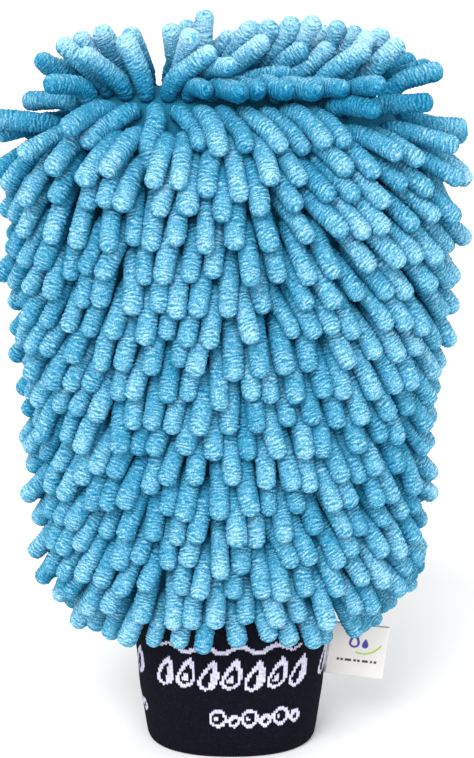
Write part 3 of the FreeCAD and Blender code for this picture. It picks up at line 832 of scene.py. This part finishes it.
ring_faces = []
for s in range(sections - 1):
    j = np.arange(around)
    a, b = s * around + j, s * around + (j + 1) % around
    ring_faces.append(np.stack([a, b, b + around, a + around], axis=-1))
ring_faces = np.concatenate(ring_faces)
cap = (sections - 1) * around
for name, members in rows_of_tufts:
    side_word, _, _, row = name.split("_")
    count = len(members)
    grid = math.ceil(math.sqrt(count))
    points, quads, crests, tones, pile_shades = [], [], [], [], []
    per_tuft = sections * around
    for place_in_row, tuft in enumerate(members):
        base = place_in_row * per_tuft
        points.append(rings[tuft].reshape(-1, 3))
        quads.append(ring_faces + base)
        crests.append(crest[tuft].ravel())
        tones.append(np.full(per_tuft, chance.uniform(0, 1)))
        pile_shades.append(pile_shade[tuft].ravel())
    points = np.concatenate(points)
    quads = np.concatenate(quads)
    faces = [tuple(f) for f in quads]
    for place_in_row in range(count):
        base = place_in_row * per_tuft
        faces.append(tuple(range(base + around - 1, base - 1, -1)))
        faces.append(tuple(range(base + cap, base + cap + around)))
    row_piece = mesh_piece(f"{side_word}_tufts_{row}", points, faces)
    for title, values in (("crest", crests), ("tone", tones), ("pile_shade", pile_shades)):
        layer = row_piece.data.attributes.new(title, "FLOAT", "POINT")
        layer.data.foreach_set("value", np.concatenate(values).astype(np.float32))
    sheet = row_piece.data.uv_layers.new(name="OFBake")
    cell = np.arange(count)
    left, low = (cell % grid) / grid, (cell // grid) / grid
    j = np.tile(np.arange(around), sections - 1)
    s = np.repeat(np.arange(sections - 1), around)
    u = np.stack([j, j + 1, j + 1, j], axis=-1) / around * 0.94 + 0.03
    v = np.stack([share[s], share[s], share[s + 1], share[s + 1]], axis=-1) * 0.90 + 0.02
    quad_uv = np.stack([left[:, None, None] + u / grid, low[:, None, None] + v / grid], axis=-1)
    ring_turn = np.arange(around) * 2 * math.pi / around
    disc = np.stack([np.cos(ring_turn), np.sin(ring_turn)], axis=-1) * 0.012
    discs = np.stack([disc[::-1] + [0.2, 0.965], disc + [0.6, 0.965]])
    cap_uv = np.stack([left, low], axis=-1)[:, None, None] + discs[None] / grid
    uv = np.concatenate([quad_uv.reshape(-1, 2), cap_uv.reshape(-1, 2)])
    sheet.data.foreach_set("uv", uv.ravel().astype(np.float32))
    row_piece.data.materials.append(chenille)
    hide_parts(name)
    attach(row_piece, "mitt")

# Care label. A white satin ribbon folded in half round its outer edge, with both ends caught
# in the side seam of the cuff. It is printed with two drops, a green arc and a broken rule.
label_tilt = math.radians(6.5)
label_start = np.array([0.0409, 0.0, 0.0390])
ribbon_width, ribbon_reach, ribbon_fold = 0.024, 0.0263, 0.00065
ribbon_thickness = 0.00028
out_along = np.array([math.cos(label_tilt), 0, -math.sin(label_tilt)])
up_along = np.array([math.sin(label_tilt), 0, math.cos(label_tilt)])

fold_x = ribbon_reach - ribbon_fold - ribbon_thickness / 2
straight = np.linspace(0.0005, fold_x, 108)
fold_turn = np.linspace(-math.pi / 2, math.pi / 2, 13)[1:-1]
ply_y = -ribbon_fold * np.clip(0.35 + straight / 0.012, 0, 1)
ribbon_x = np.concatenate([straight, fold_x + ribbon_fold * np.cos(fold_turn), straight[::-1]])
ribbon_y = np.concatenate([ply_y, ribbon_fold * np.sin(fold_turn), -ply_y[::-1]])
ribbon_up = np.linspace(-ribbon_width / 2, ribbon_width / 2, 109)
slope = np.stack([np.gradient(ribbon_x), np.gradient(ribbon_y)], axis=-1)
slope /= np.linalg.norm(slope, axis=1)[:, None]
label_skins = []
for push in (ribbon_thickness / 2, -ribbon_thickness / 2):
    x = ribbon_x + slope[:, 1] * push
    y = ribbon_y - slope[:, 0] * push
    wave = 0.0005 * np.sin(ribbon_up[None, :] * 210 + 0.7) * np.clip(x[:, None] / 0.02, 0, 1) ** 2
    skin = (
        label_start
        + x[:, None, None] * out_along
        + ribbon_up[None, :, None] * up_along
        + (y[:, None] + wave)[:, :, None] * np.array([0, 1.0, 0])
    )
    label_skins.append(skin)
ribbon = shell_piece("care_ribbon", *label_skins)

satin = np.array([0.80, 0.775, 0.745])
blue_ink = (0.045, 0.030, 0.32)
green_ink = (0.42, 0.62, 0.06)
black_ink = (0.03, 0.03, 0.035)
ink = np.tile(satin, (len(ribbon_x), len(ribbon_up), 1))
x, up = np.meshgrid(ribbon_x, ribbon_up, indexing="ij")
front_ply = (np.arange(len(ribbon_x)) < len(straight))[:, None]
drop = inside_drop(x - 0.0120, up - 0.0035, 0.0024, 0.0050)
drop_hole = inside_drop(x - 0.0120, up - 0.0033, 0.0013, 0.0026)
ink[front_ply & drop & ~drop_hole] = blue_ink
small_drop = inside_drop(x - 0.0168, up - 0.0026, 0.0014, 0.0030)
ink[front_ply & small_drop] = blue_ink
arc = np.abs(np.hypot(x - 0.0160, up - 0.0075) - 0.0088) < 0.0004
ink[front_ply & arc & (up < 0.0032) & (x > 0.013)] = green_ink
rule = np.abs(up + 0.0046) < 0.00055
dashes = np.sin(x * 2600 + 1.6 * np.sin(x * 900)) > -0.45
ink[front_ply & rule & dashes & (x > 0.0045) & (x < 0.0235)] = black_ink
edge = np.abs(np.abs(up) - ribbon_width / 2) < 0.0005
ink[edge] = satin * 0.92
ribbon_ink = ribbon.data.attributes.new("ink", "FLOAT_COLOR", "POINT")
tinted = np.concatenate([ink.reshape(-1, 3), ink.reshape(-1, 3)])
tinted = np.column_stack([tinted, np.ones(len(tinted))])
ribbon_ink.data.foreach_set("color", tinted.ravel().astype(np.float32))

label_satin, shader = new_material("label_satin")
place = add_node(label_satin, "ShaderNodeTexCoord").outputs["Object"]
print_colour = add_node(label_satin, "ShaderNodeAttribute", {"attribute_name": "ink"}).outputs["Color"]
weave = add_node(
    label_satin, "ShaderNodeTexWave", {"bands_direction": "Z"}, Vector=place, Scale=900.0, Distortion=0.6
)
shade = colour_ramp(label_satin, weave.outputs["Fac"], [(0.0, (0.86, 0.86, 0.86)), (1.0, (1.0, 1.0, 1.0))])
woven = add_node(
    label_satin,
    "ShaderNodeMix",
    {"data_type": "RGBA", "blend_type": "MULTIPLY"},
    i0=1.0,
    i6=print_colour,
    i7=shade,
)
feed(label_satin, shader, Base_Color=woven.outputs[2])
shader.inputs["Roughness"].default_value = 0.38
shader.inputs["Anisotropic"].default_value = 0.4
fabric_bump(label_satin, shader, weave.outputs["Fac"], 0.25, 0.0001)
ribbon.data.materials.append(label_satin)
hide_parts("care_label", "label_sewn_end")
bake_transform(ribbon)
label_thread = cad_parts["label_stitches"]
label_thread.data.materials.clear()
label_thread.data.materials.append(thread_material("white_thread", (0.50, 0.50, 0.50), (0.85, 0.85, 0.83)))

# Studio. A white table that runs back out of sight, large soft lights overhead and in front,
# and a camera a metre off, looking down a little on the palm of the standing mitt.
table_half = 80.0
table = mesh_piece(
    "table",
    [(x * table_half, y * table_half, 0) for x, y in ((-1, -1), (1, -1), (1, 1), (-1, 1))],
    [(0, 1, 2, 3)],
)
table_white, shader = new_material("table_white")
place = add_node(table_white, "ShaderNodeTexCoord").outputs["Object"]
paper = add_node(table_white, "ShaderNodeTexNoise", Vector=place, Scale=3.0, Detail=3.0)
table_whites = [(0.3, (0.90, 0.90, 0.90)), (0.7, (0.92, 0.92, 0.92))]
feed(table_white, shader, Base_Color=colour_ramp(table_white, paper.outputs["Fac"], table_whites))
shader.inputs["Roughness"].default_value = 0.9
shader.inputs["Specular IOR Level"].default_value = 0.1
table.data.materials.append(table_white)

world = bpy.data.worlds.new("studio")
world.use_nodes = True
world.node_tree.nodes["Background"].inputs["Color"].default_value = (1.0, 1.0, 1.0, 1)
world.node_tree.nodes["Background"].inputs["Strength"].default_value = 1.0
bpy.context.scene.world = world
bpy.context.scene.view_settings.view_transform = "Standard"


def soft_light(name, place, aim, size, power):
    """A square softbox at a place, turned to face an aim."""
    data = bpy.data.lights.new(name, "AREA")
    data.size = size
    data.energy = power
    lamp = bpy.data.objects.new(name, data)
    lamp.location = place
    lamp.rotation_euler = (Vector(aim) - Vector(place)).to_track_quat("-Z", "Y").to_euler()
    bpy.context.scene.collection.objects.link(lamp)


soft_light("front_softbox", (0.5, -1.4, 0.7), (0, 0, 0.15), 0.9, 3.0)
key_data = bpy.data.lights.new("wide_key_light", "SUN")
key_data.energy = 2.05
key_data.angle = math.radians(30)
key = bpy.data.objects.new("wide_key_light", key_data)
key.rotation_euler = Vector((0.30, 0.90, -1.0)).to_track_quat("-Z", "Y").to_euler()
bpy.context.scene.collection.objects.link(key)

camera_data = bpy.data.cameras.new("camera")
camera_data.lens = 113.7
camera = bpy.data.objects.new("camera", camera_data)
view_height = math.radians(17)
aim = Vector((0.0025, 0, 0.160))
camera.location = aim + Vector((0, -math.cos(view_height), math.sin(view_height)))
camera.rotation_euler = (math.pi / 2 - view_height, 0, 0)
bpy.context.scene.collection.objects.link(camera)
bpy.context.scene.camera = camera
